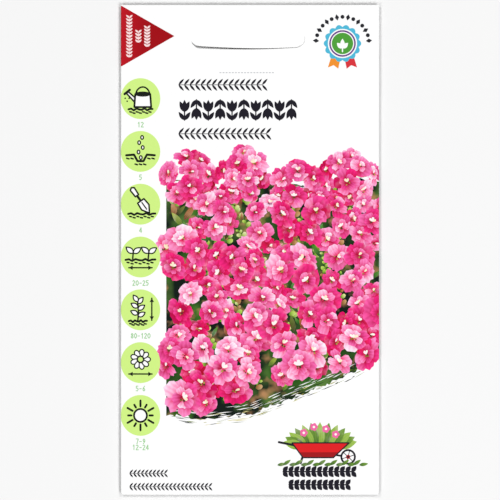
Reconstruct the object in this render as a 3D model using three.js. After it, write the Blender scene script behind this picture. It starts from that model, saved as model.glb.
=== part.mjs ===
// A paper seed packet with its seeds. One printed sheet is folded round a flat pouch and glued down
// the left side, along the bottom and across the header, which has a slit for a display peg.
//
// Millimetres. X runs across the packet, Y up its front and Z out of its printed front. The packet
// lies on its back with the origin below the middle of its outline, and rests on the flat spot of
// the back panel at Z = 0. The printed side of the sheet faces out of the packet everywhere.

import * as THREE from "three";

const { clamp, degToRad, lerp, smoothstep } = THREE.MathUtils;

// The flat packet
const WIDTH = 79.6; // outside the two side folds
const HEIGHT = 151; // from the bottom fold to the cut top edge
const PAPER = 0.12; // thickness of the coated paper
const GLUE = 0.04; // thickness of a glue film
const FOLD_HOLLOW = 0.2; // depth of the hollow inside a soft fold
const FOLD_NOTCH = 0.3; // the side folds stop this far above the bottom fold

// The flaps and the back panel
const SEAM_FLAP_WIDTH = 10.8; // runs down the inside of the back at the left
const SEAM_CLEARANCE = 0.08; // air between the seam flap and the front
const BACK_SETBACK = 1; // the back panel stops this far inside the left fold
const BOTTOM_FLAP_HEIGHT = 14; // folded up behind the back panel
const BOTTOM_FLAP_LEAN = 3; // each side of that flap leans in this far

// The filled pouch
const FRONT_LEVEL = 1.15; // plain face of the front along its folds
const FRONT_BULGE = 1.4; // rise of the front over the seeds
const BACK_BULGE = 1; // sag of the back before the table flattens it
const BELLY_LOW = -42; // between these heights the pouch is fullest
const BELLY_HIGH = 4;
const TEAR_LINE = 54; // the header above this height is flat and glued
const BACK_STEP_WIDTH = 2.6; // beside the seam flap the back comes up to the front over this width
const BACK_STEP_HEIGHT = 14; // and below the header over this height
const BACK_BULGE_GAP = 1.5; // from the bottom flap to where the back starts to sag
const GLUE_MARGIN = 0.8; // every glue film stops this far inside the plies that it holds

// The hang slit, a tongue cut on three sides through both plies
const SLIT_CENTRE = -0.6;
const SLIT_HALF_WIDTH = 17.4;
const SLIT_LOW = 62.6; // lower edge of the tongue at its corners
const SLIT_BOW = 0.6; // that edge hangs this much lower in the middle
const SLIT_CORNER = 2.4; // reach of the rounded corner along the edge
const SLIT_CORNER_RISE = 1.6;
const SLIT_KERF = 0.3;
const SLIT_GAPE = 0.4; // the tongue's edge stands off the sheet's by this much more near its left end
const GAPE_START = 0.07; // share of the tongue's length over which it starts to
const TONGUE_HINGE = 65.8;
const TONGUE_TILT_LEFT = degToRad(12); // pushed back a little, more at its left end
const TONGUE_TILT_RIGHT = degToRad(6);

// The seeds
const SEED_COUNT = 40;
const SEED_LENGTH = 2.2;
const SEED_WIDTH = 1.5;
const SEED_THICKNESS = 1.1;
const SEED_CLEARANCE = 0.3; // from a seed to the paper under it
const SEED_SPACING = 2.6; // between the middles of two seeds, at least
const SEED_HEADROOM = 1.95; // clear height of the pouch where a seed can lie
const SEED_FOOTPRINT = 1.2; // that height is felt for this far round the seed's middle
const SEED_TAPER = 0.5; // narrowing of the seed towards one end
const SEED_RIDGE = 0.06; // depth of its three ridges and of its wrinkles, as shares of its width
const SEED_WRINKLE = 0.03;
const SEEDS_LEFT = -26; // the seeds lie in this area, and the more so the lower
const SEEDS_RIGHT = 30;
const SEEDS_LOW = -52;
const SEEDS_HIGH = -6;
const SEEDS_SETTLED = 1.4;

// Heights of the plain, unprinted faces of the plies, from the front downwards
const SEAM_LEVEL = FRONT_LEVEL - SEAM_CLEARANCE;
const BACK_LEVEL = SEAM_LEVEL - PAPER - GLUE;
const FLAP_LEVEL = BACK_LEVEL - PAPER - GLUE;
const HEADER_BACK_LEVEL = FRONT_LEVEL - GLUE;

// Edges and fold lines
const TOP = HEIGHT / 2;
const FOLD_X = WIDTH / 2 - FOLD_HOLLOW - PAPER;
const FOLD_Y = -HEIGHT / 2 + FOLD_HOLLOW + PAPER;
const SEAM_EDGE = SEAM_FLAP_WIDTH - FOLD_X;
const BACK_EDGE = BACK_SETBACK - FOLD_X;
const BACK_STEP_END = SEAM_EDGE + BACK_STEP_WIDTH;
const BACK_STEP_START = TEAR_LINE - BACK_STEP_HEIGHT;
const FLAP_TOP = FOLD_Y + BOTTOM_FLAP_HEIGHT;
const BACK_BULGE_START = FLAP_TOP + BACK_BULGE_GAP;
const FOLD_ANGLES = [45, 90, 135].map(degToRad);
const TOLERANCE = 1e-6;

// 1 over the seeds, 0 at both ends of the pouch
function fullness(y, start) {
  return smoothstep(y, start, BELLY_LOW) * (1 - smoothstep(y, BELLY_HIGH, TEAR_LINE));
}

function frontHeight(x, y) {
  const across = 1 - (x / FOLD_X) ** 2;
  return FRONT_LEVEL + FRONT_BULGE * across * fullness(y, FOLD_Y);
}

// The back is flat over both glued flaps, steps up to the front in the header and sags between
function backHeight(x, y) {
  const offTheSeam = smoothstep(x, SEAM_EDGE, BACK_STEP_END) * smoothstep(y, BACK_STEP_START, TEAR_LINE);
  const halfWidth = (FOLD_X - SEAM_EDGE) / 2;
  const fromMiddle = clamp((x - FOLD_X + halfWidth) / halfWidth, -1, 1);
  const sag = BACK_BULGE * (1 - fromMiddle ** 4) * fullness(y, BACK_BULGE_START);
  return Math.max(BACK_LEVEL + offTheSeam * (HEADER_BACK_LEVEL - BACK_LEVEL) - sag, PAPER);
}

// A point of the sheet at height y, on its printed face (side 1) or its plain face (side 0)
const frontColumn = (x) => (y, side) => [x, y, frontHeight(x, y) + side * PAPER];
const backColumn = (x) => (y, side) => [x, y, backHeight(x, y) - side * PAPER];
const seamColumn = (x) => (y, side) => [x, y, SEAM_LEVEL - side * PAPER];

// A side fold is half an ellipse from the front down to the ply under it
const foldColumn = (foldX, angle, lowerHeight) => (y, side) => {
  const lower = lowerHeight(foldX, y);
  const halfHeight = (FRONT_LEVEL - lower) / 2;
  const reach = (FOLD_HOLLOW + side * PAPER) * Math.sin(angle);
  const rise = (halfHeight + side * PAPER) * Math.cos(angle);
  return [foldX + Math.sign(foldX) * reach, y, lower + halfHeight + rise];
};

// The bottom fold does the same from the front to the bottom flap
const bottomFoldRow = (angle) => (x, side) => {
  const halfHeight = (FRONT_LEVEL - FLAP_LEVEL) / 2;
  const reach = (FOLD_HOLLOW + side * PAPER) * Math.sin(angle);
  const rise = (halfHeight + side * PAPER) * Math.cos(angle);
  return [x, FOLD_Y - reach, FLAP_LEVEL + halfHeight + rise];
};

const bottomFlapRow = (y) => (x, side) => {
  const lean = (BOTTOM_FLAP_LEAN / FOLD_X) * ((y - FOLD_Y) / BOTTOM_FLAP_HEIGHT);
  return [x * (1 - lean), y, FLAP_LEVEL - side * PAPER];
};

// The slit's lower edge bows down in the middle and curls up at its corners
function slitEdge(x) {
  const out = Math.abs(x - SLIT_CENTRE) / SLIT_HALF_WIDTH;
  const corner = clamp(1 + ((out - 1) * SLIT_HALF_WIDTH) / SLIT_CORNER, 0, 1);
  return SLIT_LOW - SLIT_BOW * Math.max(1 - out ** 2, 0) + SLIT_CORNER_RISE * corner ** 2;
}

// 0 at the tongue's left end and 1 at its right
const alongTongue = (x) => clamp((x - SLIT_CENTRE) / (2 * SLIT_HALF_WIDTH) + 0.5, 0, 1);

function tongueEdge(x) {
  const along = alongTongue(x);
  return slitEdge(x) + SLIT_GAPE * smoothstep(along, 0, GAPE_START) * (1 - along ** 2) ** 3;
}

// Goes from knot to knot and cuts each stretch in its number of equal parts
function divided(knots, parts) {
  const steps = parts.flatMap((count, i) => {
    const step = (knots[i + 1] - knots[i]) / count;
    return Array.from({ length: count }, (_, k) => knots[i] + k * step);
  });
  return [...steps, knots.at(-1)];
}

// Columns across the slit: the kerf, the rounded corner and the straight stretch between
function slitColumns() {
  const half = divided([SLIT_HALF_WIDTH, SLIT_HALF_WIDTH - SLIT_CORNER, 0], [2, 3]);
  const offsets = [SLIT_HALF_WIDTH + SLIT_KERF, ...half];
  const left = offsets.map((x) => SLIT_CENTRE - x);
  const right = offsets.map((x) => SLIT_CENTRE + x).reverse();
  return [...left, ...right.slice(1)];
}

// The columns of the sheet run round the packet, from the seam flap over the front to the back
function sheetColumns() {
  const slit = slitColumns();
  const slitParts = slit.slice(1).map(() => 1);
  const front = divided([-FOLD_X, ...slit, FOLD_X], [4, ...slitParts, 4]);
  const backKnots = [FOLD_X, ...slit.toReversed(), BACK_STEP_END, SEAM_EDGE, BACK_EDGE];
  const back = divided(backKnots, [4, ...slitParts, 2, 1, 1]);
  const seam = [SEAM_EDGE, -FOLD_X];
  const seamHeight = () => SEAM_LEVEL;
  const leftFold = FOLD_ANGLES.toReversed().map((angle) => foldColumn(-FOLD_X, angle, seamHeight));
  const rightFold = FOLD_ANGLES.map((angle) => foldColumn(FOLD_X, angle, backHeight));
  return [
    ...seam.map((x) => ({ x, panel: "seam", point: seamColumn(x) })),
    ...leftFold.map((point) => ({ panel: "fold", point })),
    ...front.map((x) => ({ x, panel: "front", point: frontColumn(x) })),
    ...rightFold.map((point) => ({ panel: "fold", point })),
    ...back.map((x) => ({ x, panel: "back", point: backColumn(x) })),
  ];
}

// The rows run up the packet. The two rows along the slit follow its edge.
function sheetRows() {
  const ends = [FOLD_Y + FOLD_NOTCH, FLAP_TOP, BACK_BULGE_START];
  const knots = [...ends, BELLY_LOW, BELLY_HIGH, BACK_STEP_START, TEAR_LINE];
  const pouch = divided(knots, [2, 1, 3, 4, 4, 2]);
  return [
    ...pouch.map((y) => ({ height: () => y })),
    { height: (x) => slitEdge(x) - SLIT_KERF, zone: "hole edge" },
    { height: tongueEdge, zone: "tongue" },
    { height: () => TONGUE_HINGE, zone: "hinge" },
    { height: () => TOP },
  ];
}

const slitOffset = (column) => Math.abs(column.x - SLIT_CENTRE) - SLIT_HALF_WIDTH;
const hasSlit = (column) => column.panel === "front" || column.panel === "back";
const inSlit = (column) => hasSlit(column) && slitOffset(column) < TOLERANCE;
const onTongue = (column, row) => row.zone === "tongue" && inSlit(column);

// The tongue tilts back about its hinge, both plies alike
function tilted([x, y, z]) {
  const tilt = TONGUE_TILT_LEFT + alongTongue(x) * (TONGUE_TILT_RIGHT - TONGUE_TILT_LEFT);
  const length = TONGUE_HINGE - y;
  return [x, TONGUE_HINGE - length * Math.cos(tilt), z - length * Math.sin(tilt)];
}

// The kerf is the cells of the grid that the knife takes away
function inKerf(column, nextColumn, row, nextRow) {
  if (!hasSlit(column) || !hasSlit(nextColumn)) return false;
  const offsets = [slitOffset(column), slitOffset(nextColumn)];
  const beside = Math.max(...offsets) > TOLERANCE && Math.min(...offsets) < TOLERANCE;
  const across = Math.max(...offsets) < SLIT_KERF + TOLERANCE;
  if (row.zone === "hole edge") return across;
  return row.zone === "tongue" && beside && across;
}

// Turns a grid of sheet points into one closed solid: a printed face, a plain face and a wall along
// every free edge. Each cell lists four points, anticlockwise as seen from the printed side.
function closedSheet(printed, plain, cells) {
  const count = printed.length;
  const index = [];
  const edges = new Set();
  for (const [a, b, c, d] of cells) {
    index.push(a, b, c, a, c, d);
    index.push(count + a, count + c, count + b, count + a, count + d, count + c);
    for (const [from, to] of [[a, b], [b, c], [c, d], [d, a]]) edges.add(from * count + to);
  }
  for (const edge of edges) {
    const from = Math.floor(edge / count);
    const to = edge % count;
    if (edges.has(to * count + from)) continue;
    index.push(to, from, count + from, to, count + from, count + to);
  }
  const geometry = new THREE.BufferGeometry();
  geometry.setAttribute("position", new THREE.Float32BufferAttribute([...printed, ...plain].flat(), 3));
  geometry.setIndex(index);
  return geometry;
}

function packetSheet() {
  const columns = sheetColumns();
  const rows = sheetRows();
  const printed = [];
  const plain = [];
  const cells = [];
  const grid = rows.map((row) => columns.map((column) => {
    const faces = [1, 0].map((side) => {
      const point = column.point(row.height(column.x ?? FOLD_X), side);
      return onTongue(column, row) ? tilted(point) : point;
    });
    printed.push(faces[0]);
    plain.push(faces[1]);
    return printed.length - 1;
  }));
  for (let i = 0; i + 1 < rows.length; i += 1) {
    for (let j = 0; j + 1 < columns.length; j += 1) {
      if (inKerf(columns[j], columns[j + 1], rows[i], rows[i + 1])) continue;
      cells.push([grid[i][j], grid[i][j + 1], grid[i + 1][j + 1], grid[i + 1][j]]);
    }
  }

  // Below its lowest row only the front goes on, round the bottom fold and up as the bottom flap
  const frontFirst = columns.findIndex((column) => column.panel === "front");
  const front = columns.filter((column) => column.panel === "front");
  const below = [
    (x, side) => frontColumn(x)(FOLD_Y, side),
    ...FOLD_ANGLES.map(bottomFoldRow),
    ...[FOLD_Y, FLAP_TOP].map(bottomFlapRow),
  ];
  let upper = grid[0].slice(frontFirst, frontFirst + front.length);
  for (const point of below) {
    const lower = front.map(({ x }) => {
      printed.push(point(x, 1));
      plain.push(point(x, 0));
      return printed.length - 1;
    });
    for (let j = 0; j + 1 < front.length; j += 1) {
      cells.push([lower[j], lower[j + 1], upper[j + 1], upper[j]]);
    }
    upper = lower;
  }
  return closedSheet(printed, plain, cells);
}

// A glue film fills the height between two flat plies
function glueFilm(outline, level, hole) {
  const shape = new THREE.Shape(outline.map(([x, y]) => new THREE.Vector2(x, y)));
  if (hole) shape.holes.push(new THREE.Path(hole.map(([x, y]) => new THREE.Vector2(x, y))));
  return new THREE.ExtrudeGeometry(shape, { depth: GLUE, bevelEnabled: false }).translate(0, 0, level);
}

function rectangle(left, right, low, high) {
  return [[left, low], [right, low], [right, high], [left, high]];
}

// A rectangle that lies one glue margin inside these edges
function glued(left, right, low, high) {
  return rectangle(left + GLUE_MARGIN, right - GLUE_MARGIN, low + GLUE_MARGIN, high - GLUE_MARGIN);
}

function sideSeamGlue() {
  return glueFilm(glued(BACK_EDGE, SEAM_EDGE, FOLD_Y, TOP), BACK_LEVEL);
}

function bottomFlapGlue() {
  const reach = FOLD_X - BOTTOM_FLAP_LEAN;
  return glueFilm(glued(-reach, reach, FOLD_Y, FLAP_TOP), FLAP_LEVEL);
}

function headerGlue() {
  const reach = SLIT_HALF_WIDTH + SLIT_KERF + GLUE_MARGIN;
  const low = SLIT_LOW - SLIT_BOW - SLIT_KERF - GLUE_MARGIN;
  const hole = rectangle(SLIT_CENTRE - reach, SLIT_CENTRE + reach, low, TONGUE_HINGE + GLUE_MARGIN);
  return glueFilm(glued(BACK_STEP_END, FOLD_X, TEAR_LINE, TOP), HEADER_BACK_LEVEL, hole);
}

// A repeatable random draw between 0 and 1, by the usual linear congruential rule
function randomDraw(seed) {
  let state = seed;
  return () => {
    state = (Math.imul(state, 1664525) + 1013904223) >>> 0;
    return state / 2 ** 32;
  };
}

// A delphinium seed is a small blunt wedge, three-sided and wrinkled
function seedGeometry(draw) {
  const geometry = new THREE.IcosahedronGeometry(0.5, 1);
  const ridge = draw() * 2 * Math.PI;
  const position = geometry.getAttribute("position");
  const point = new THREE.Vector3();
  for (let i = 0; i < position.count; i += 1) {
    point.fromBufferAttribute(position, i);
    const round = Math.atan2(point.z, point.y);
    const ridges = SEED_RIDGE * (Math.cos(3 * round + ridge) - 1);
    const wrinkles = SEED_WRINKLE * Math.sin(9 * point.x + ridge);
    const girth = (1 - SEED_TAPER * point.x) * (1 + ridges + wrinkles);
    point.multiply(new THREE.Vector3(SEED_LENGTH, SEED_WIDTH * girth, SEED_THICKNESS * girth));
    position.setXYZ(i, ...point);
  }
  return geometry;
}

// Seeds lie scattered in the lower half of the pouch, each on the back panel and none on another
function seedPlaces(draw) {
  const places = [];
  while (places.length < SEED_COUNT) {
    const x = lerp(SEEDS_LEFT, SEEDS_RIGHT, draw());
    const y = lerp(SEEDS_LOW, SEEDS_HIGH, draw() ** SEEDS_SETTLED);
    const turn = 2 * Math.PI * draw();
    const around = [[0, 0], [1, 0], [-1, 0], [0, 1], [0, -1]].map(([a, b]) => {
      return [x + a * SEED_FOOTPRINT, y + b * SEED_FOOTPRINT];
    });
    const floor = Math.max(...around.map((place) => backHeight(...place)));
    const roof = Math.min(...around.map((place) => frontHeight(...place)));
    const crowded = places.some((place) => Math.hypot(place.x - x, place.y - y) < SEED_SPACING);
    if (roof - floor < SEED_HEADROOM || crowded) continue;
    places.push({ x, y, turn, floor });
  }
  return places;
}

const coatedPaper = new THREE.MeshStandardMaterial({ color: 0xf6f6f3, roughness: 0.4, metalness: 0 });
const driedGlue = new THREE.MeshStandardMaterial({ color: 0xe9e2c8, roughness: 0.35, metalness: 0 });
const seedCoat = new THREE.MeshStandardMaterial({ color: 0x2e2119, roughness: 0.8, metalness: 0 });

function named(name, geometry, material) {
  const mesh = new THREE.Mesh(geometry, material);
  mesh.name = name;
  return mesh;
}

const packet = new THREE.Group();
packet.add(
  named("packet_sheet", packetSheet(), coatedPaper),
  named("side_seam_glue", sideSeamGlue(), driedGlue),
  named("bottom_flap_glue", bottomFlapGlue(), driedGlue),
  named("header_glue", headerGlue(), driedGlue),
);

const draw = randomDraw(20);
seedPlaces(draw).forEach(({ x, y, turn, floor }, number) => {
  const seed = named(`seed_${String(number + 1).padStart(2, "0")}`, seedGeometry(draw), seedCoat);
  seed.geometry.computeBoundingBox();
  seed.position.set(x, y, floor + SEED_CLEARANCE - seed.geometry.boundingBox.min.z);
  seed.rotation.z = turn;
  packet.add(seed);
});

export default packet;
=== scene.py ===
"""The looks of a paper seed packet: its folded printed sheet, its glue, its seeds and a plain studio.

The print is drawn as flat ink shapes on the unfolded blank. The blank is then cut into triangles along
the edges of the shapes and folded up into the packet. Sizes are in millimetres, like the part's own
source, and turn into metres where meshes are made. X runs across the packet, Y up its front and Z out
of the printed front.
"""

import random
from math import atan2, cos, dist, hypot, pi, radians, sin, sqrt, tan

import bpy
import numpy as np
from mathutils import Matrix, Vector
from mathutils.bvhtree import BVHTree
from mathutils.geometry import delaunay_2d_cdt


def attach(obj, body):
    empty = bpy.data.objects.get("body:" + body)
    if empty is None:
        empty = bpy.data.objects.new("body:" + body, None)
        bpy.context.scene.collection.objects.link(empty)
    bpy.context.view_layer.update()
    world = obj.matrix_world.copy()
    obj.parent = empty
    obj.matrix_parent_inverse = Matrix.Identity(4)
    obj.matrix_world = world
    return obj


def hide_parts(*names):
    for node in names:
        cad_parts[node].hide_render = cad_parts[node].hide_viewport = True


MM = 0.001
TAU = 2 * pi

# ---- the packet, as the CAD part has it

WIDTH = 79.6
HEIGHT = 151.0
PAPER = 0.12
GLUE = 0.04
FOLD_HOLLOW = 0.2
FOLD_NOTCH = 0.3
SEAM_FLAP_WIDTH = 10.8
SEAM_CLEARANCE = 0.08
BACK_SETBACK = 1.0
BOTTOM_FLAP_HEIGHT = 14.0
BOTTOM_FLAP_LEAN = 3.0
FRONT_LEVEL = 1.15
FRONT_BULGE = 1.4
BACK_BULGE = 1.0
BELLY_LOW = -42.0
BELLY_HIGH = 4.0
TEAR_LINE = 54.0
BACK_STEP_WIDTH = 2.6
BACK_STEP_HEIGHT = 14.0
BACK_BULGE_GAP = 1.5
SLIT_CENTRE = -0.6
SLIT_HALF_WIDTH = 17.4
SLIT_LOW = 62.6
SLIT_BOW = 0.6
SLIT_CORNER = 2.4
SLIT_CORNER_RISE = 1.6
SLIT_GAPE = 0.4
GAPE_START = 0.07
TONGUE_HINGE = 65.8
TONGUE_TILT_LEFT = radians(12)
TONGUE_TILT_RIGHT = radians(6)

SEAM_LEVEL = FRONT_LEVEL - SEAM_CLEARANCE
BACK_LEVEL = SEAM_LEVEL - PAPER - GLUE
FLAP_LEVEL = BACK_LEVEL - PAPER - GLUE
HEADER_BACK_LEVEL = FRONT_LEVEL - GLUE
TOP = HEIGHT / 2
FOLD_X = WIDTH / 2 - FOLD_HOLLOW - PAPER
FOLD_Y = -HEIGHT / 2 + FOLD_HOLLOW + PAPER
SEAM_EDGE = SEAM_FLAP_WIDTH - FOLD_X
BACK_EDGE = BACK_SETBACK - FOLD_X
BACK_STEP_END = SEAM_EDGE + BACK_STEP_WIDTH
FLAP_TOP = FOLD_Y + BOTTOM_FLAP_HEIGHT
BACK_BULGE_START = FLAP_TOP + BACK_BULGE_GAP

# The blank is measured by u across and v up. On the front u = x and v = y. A fold takes FOLD_SPAN of it.
FOLD_SPAN = 0.9
FOLD_STEPS = 6
BLEED = 0.6  # the print runs this far past a fold
BACK_U = 2 * FOLD_X + FOLD_SPAN  # u of the back panel at x = 0
BLANK_LEFT = -BACK_U - SEAM_EDGE
BLANK_RIGHT = BACK_U - BACK_EDGE
BLANK_LOW = FOLD_Y + FOLD_NOTCH  # all but the front and its flap end here
FLAP_FOLD = FOLD_Y - FOLD_SPAN
FLAP_END = FLAP_FOLD - BOTTOM_FLAP_HEIGHT
PRINT_LEFT = -FOLD_X - FOLD_SPAN - BLEED
PRINT_RIGHT = FOLD_X + FOLD_SPAN + BLEED
NEAR = 1e-9

# ---- inks

PAPER_REFLECTANCE = 0.8  # of bare white paper; each ink takes its share of this


def ink(code):
    """Reflectance of a six-digit display colour printed on the paper."""
    shares = [int(code[i : i + 2], 16) / 255 for i in (0, 2, 4)]
    linear = [((c + 0.055) / 1.055) ** 2.4 if c > 0.04 else c / 12.92 for c in shares]
    return tuple(PAPER_REFLECTANCE * c for c in linear)


def palette(codes):
    return [ink(code) for code in codes.split()]


PAPER_WHITE = ink("fdfdfd")
NEAR_BLACK = ink("1d1b25")
DISC_GREEN = ink("d0f286")
LINE_BLACK = ink("151a14")
CAPTION_GREEN = ink("9bcf92")
TAG_REDS = palette("bc1220 a00410")
TAG_WHITE = ink("fbe0df")
TEAR_GREY = ink("c2c4c8")
BADGE_TEAL = ink("4fb9d8")
BADGE_ORANGE = ink("f0922f")
BADGE_RED = ink("d8343c")
BADGE_GREEN = ink("4f9f3a")
BADGE_PURPLE = ink("6a3a86")
BADGE_BLACK = ink("26262c")
TRAY_RED = ink("dd1d22")
TRAY_DARK = ink("a1131a")
SPRIG_LIGHT = ink("a6c75a")
SPRIG_GREEN = ink("7ba43a")
SPRIG_DARK = ink("41682c")
BARROW_BLOOM = ink("ef6aa5")
FOLIAGE_DARK = ink("0a1812")
FOLIAGE_MID = ink("557a36")
FOLIAGE_HAZE = ink("c48e62")
STROKE_INKS = [FOLIAGE_DARK, FOLIAGE_DARK, *palette("35552a 7d8f3c a8a24c d8cf8e")]
LEAF_INKS = [palette(pair) for pair in ("24482a 6ea046", "4c6a26 bcc862", "3c3420 7c8a44", "74462e d4a876")]
BUD_INKS = [palette(pair) for pair in ("6f9a2e d6ea7c", "8aa83c f2f7b8", "8c6a3c dcb884")]
STALK_INKS = palette("3c5a24 93b04c")
PINKS = palette("b4004a f00a6e ff2c8a ff4ea4 ff7fc4 feb2df ffdaf4 fff8ff")
PETAL_GLOW = ink("ffe2f6")
EYE_INKS = palette("fffaf0 fbeccd fdf1f4")
STAMEN_INKS = palette("6b4a22 b09a45 4c3a20 8a6b2c")

# ---- the folded shape

LONG_WAVE = 0.05  # heights of the paper's soft waves
SHORT_WAVE = 0.03
SEAM_RIDGE = 0.035  # heights of the ridges where a flap's edge shows through the front
FLAP_RIDGE = 0.03
RIDGE_WIDTH = 0.9
CREASE = 0.4  # the tongue bends over twice this length
ON_CUT = 1e-4


def smooth(value, start, end):
    """A soft step from 0 at start to 1 at end."""
    share = np.clip((value - start) / (end - start), 0, 1)
    return share * share * (3 - 2 * share)


def fullness(y, start):
    """1 over the seeds and 0 at both ends of the pouch."""
    return smooth(y, start, BELLY_LOW) * (1 - smooth(y, BELLY_HIGH, TEAR_LINE))


def ridge(height, distance):
    return height * np.exp(-((distance / RIDGE_WIDTH) ** 2))


def paper_relief(x, y):
    """Soft waves of the front over the seeds, and the flaps' edges showing through."""
    waves = LONG_WAVE * np.sin(0.21 * x + 0.05 * y + 1) * np.sin(0.11 * y - 0.04 * x)
    waves = waves + SHORT_WAVE * np.sin(0.33 * y + 0.27 * x) * np.sin(0.19 * x - 0.23 * y)
    seam_ridge = ridge(SEAM_RIDGE, x - SEAM_EDGE) * smooth(y, TEAR_LINE - 6, TEAR_LINE + 4)
    return waves * fullness(y, FOLD_Y) + seam_ridge + ridge(FLAP_RIDGE, y - FLAP_TOP)


def front_height(x, y):
    across = 1 - (x / FOLD_X) ** 2
    return FRONT_LEVEL + across * (FRONT_BULGE * fullness(y, FOLD_Y) + paper_relief(x, y))


def back_height(x, y):
    off_the_seam = smooth(x, SEAM_EDGE, BACK_STEP_END) * smooth(y, TEAR_LINE - BACK_STEP_HEIGHT, TEAR_LINE)
    half_width = (FOLD_X - SEAM_EDGE) / 2
    from_middle = np.clip((x - FOLD_X + half_width) / half_width, -1, 1)
    sag = BACK_BULGE * (1 - from_middle**4) * fullness(y, BACK_BULGE_START)
    return np.maximum(BACK_LEVEL + off_the_seam * (HEADER_BACK_LEVEL - BACK_LEVEL) - sag, PAPER)


def slit_edge(x):
    out = np.abs(x - SLIT_CENTRE) / SLIT_HALF_WIDTH
    corner = np.clip(1 + (out - 1) * SLIT_HALF_WIDTH / SLIT_CORNER, 0, 1)
    return SLIT_LOW - SLIT_BOW * np.maximum(1 - out**2, 0) + SLIT_CORNER_RISE * corner**2


def along_tongue(x):
    """0 at the tongue's left end and 1 at its right."""
    return np.clip((x - SLIT_CENTRE) / (2 * SLIT_HALF_WIDTH) + 0.5, 0, 1)


def tongue_edge(x):
    along = along_tongue(x)
    return slit_edge(x) + SLIT_GAPE * smooth(along, 0, GAPE_START) * (1 - along**2) ** 3


def tongue_tilt(x, y):
    """Moves of y and z that lay the tongue back, most at its left end, with a soft crease."""
    tilt = TONGUE_TILT_LEFT + along_tongue(x) * (TONGUE_TILT_RIGHT - TONGUE_TILT_LEFT)
    length = TONGUE_HINGE - y
    bent = np.maximum(length - CREASE, 0) + CREASE / 2 * smooth(length, 0, 2 * CREASE)
    between_ends = np.abs(x - SLIT_CENTRE) < SLIT_HALF_WIDTH + ON_CUT
    inside = between_ends & (length > 0) & (y > tongue_edge(x) - ON_CUT)
    return np.where(inside, length * (1 - np.cos(tilt)), 0), np.where(inside, -bent * np.sin(tilt), 0)


def fold(angle, lower, offset):
    """Reach and height in a soft fold, half an ellipse from the front down to the ply under it."""
    half = (FRONT_LEVEL - lower) / 2
    return (FOLD_HOLLOW + offset) * np.sin(angle), lower + half + (half + offset) * np.cos(angle)


def folded(u, v, side):
    """Points of the blank in the folded packet, on its printed face (side 1) or plain face (side 0)."""
    offset = side * PAPER
    on_back = u >= FOLD_X + FOLD_SPAN - NEAR
    on_seam = u <= -FOLD_X - FOLD_SPAN + NEAR
    x = np.select([on_back, on_seam], [BACK_U - u, -BACK_U - u], u)
    z = np.where(on_back, back_height(x, v) - offset, front_height(x, v) + offset)
    z = np.where(on_seam, SEAM_LEVEL - offset, z)

    for sign, lower in ((1, back_height(FOLD_X, v)), (-1, SEAM_LEVEL)):
        turning = (sign * u > FOLD_X) & (sign * u < FOLD_X + FOLD_SPAN - NEAR)
        reach, height = fold(pi * (sign * u - FOLD_X) / FOLD_SPAN, lower, offset)
        x = np.where(turning, sign * (FOLD_X + reach), x)
        z = np.where(turning, height, z)

    turning, on_flap = v < FOLD_Y, v <= FLAP_FOLD + NEAR
    reach, height = fold(pi * np.clip((FOLD_Y - v) / FOLD_SPAN, 0, 1), FLAP_LEVEL, offset)
    y = np.select([on_flap, turning], [FOLD_Y + FLAP_FOLD - v, FOLD_Y - reach], v)
    z = np.select([on_flap, turning], [FLAP_LEVEL - offset, height], z)

    lift, drop = tongue_tilt(x, y)
    return np.stack([x, y + lift, z + drop], axis=1)


# ---- drawing with ink shapes

FLAT, PETAL, FOLIAGE = 0.0, 1.0, 2.0
PEN = 0.5


class Print:
    """Ink shapes on the blank, each over the ones before it, drawn from a movable origin.

    A shape's ink runs from one colour at the foot of its own axis to a second at its tip. Its grain says
    how it is painted: flat, as a petal, or as out-of-focus foliage. A shadow is soft and oval, and
    darkens the shapes that are there before it.
    """

    def __init__(self):
        self.origin = (0, 0)
        self.outlines = []
        self.inks = []
        self.axes = []
        self.looks = []
        self.shadows = []

    def add(self, outline, foot, tip=None, axis=(0, 0, 1, 0, 1), grain=FLAT, side_light=0.0):
        """The axis is its foot's x and y, the steps from there to its tip, and the shape's half width."""
        x, y = self.origin
        self.outlines.append(counterclockwise(turned(outline, 0, x, y)))
        self.inks.append((foot, tip or foot))
        self.axes.append((axis[0] + x, axis[1] + y, *axis[2:]))
        self.looks.append((grain, side_light))

    def shade(self, x, y, along_x, along_y, half_width, strength):
        axis = (x + self.origin[0], y + self.origin[1], along_x, along_y, half_width)
        self.shadows.append((len(self.outlines), axis, strength))


def counterclockwise(outline):
    area = sum(a[0] * b[1] - b[0] * a[1] for a, b in zip(outline, outline[1:] + outline[:1]))
    return outline if area > 0 else outline[::-1]


def turned(points, angle, x=0.0, y=0.0):
    """Points turned about the origin and then moved to (x, y)."""
    c, s = cos(angle), sin(angle)
    return [(x + c * p - s * q, y + s * p + c * q) for p, q in points]


def polar(x, y, radius, angle):
    return x + radius * cos(angle), y + radius * sin(angle)


def rectangle(left, right, low, high):
    return [(left, low), (right, low), (right, high), (left, high)]


def ring(x, y, radius, count, high=None, start=0.0, span=TAU):
    """Points round an ellipse, or along an arc of it."""
    steps = count if span == TAU else count - 1
    angles = [start + span * i / steps for i in range(count)]
    return [(x + radius * cos(a), y + (high or radius) * sin(a)) for a in angles]


def disc(sheet, x, y, radius, colour, count=24):
    sheet.add(ring(x, y, radius, count), colour)


def line(sheet, points, width=PEN, colour=LINE_BLACK, closed=False):
    """A drawn line with round joints."""
    half = width / 2
    path = points + points[:1] if closed else points
    for start, end in zip(path, path[1:]):
        stroke = rectangle(0, dist(start, end), -half, half)
        sheet.add(turned(stroke, atan2(end[1] - start[1], end[0] - start[0]), *start), colour)
    for x, y in points:
        disc(sheet, x, y, half, colour, 8)


def filled(sheet, points, width=PEN, colour=PAPER_WHITE):
    """A shape with a drawn outline."""
    sheet.add(points, colour)
    line(sheet, points, width, closed=True)


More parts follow.
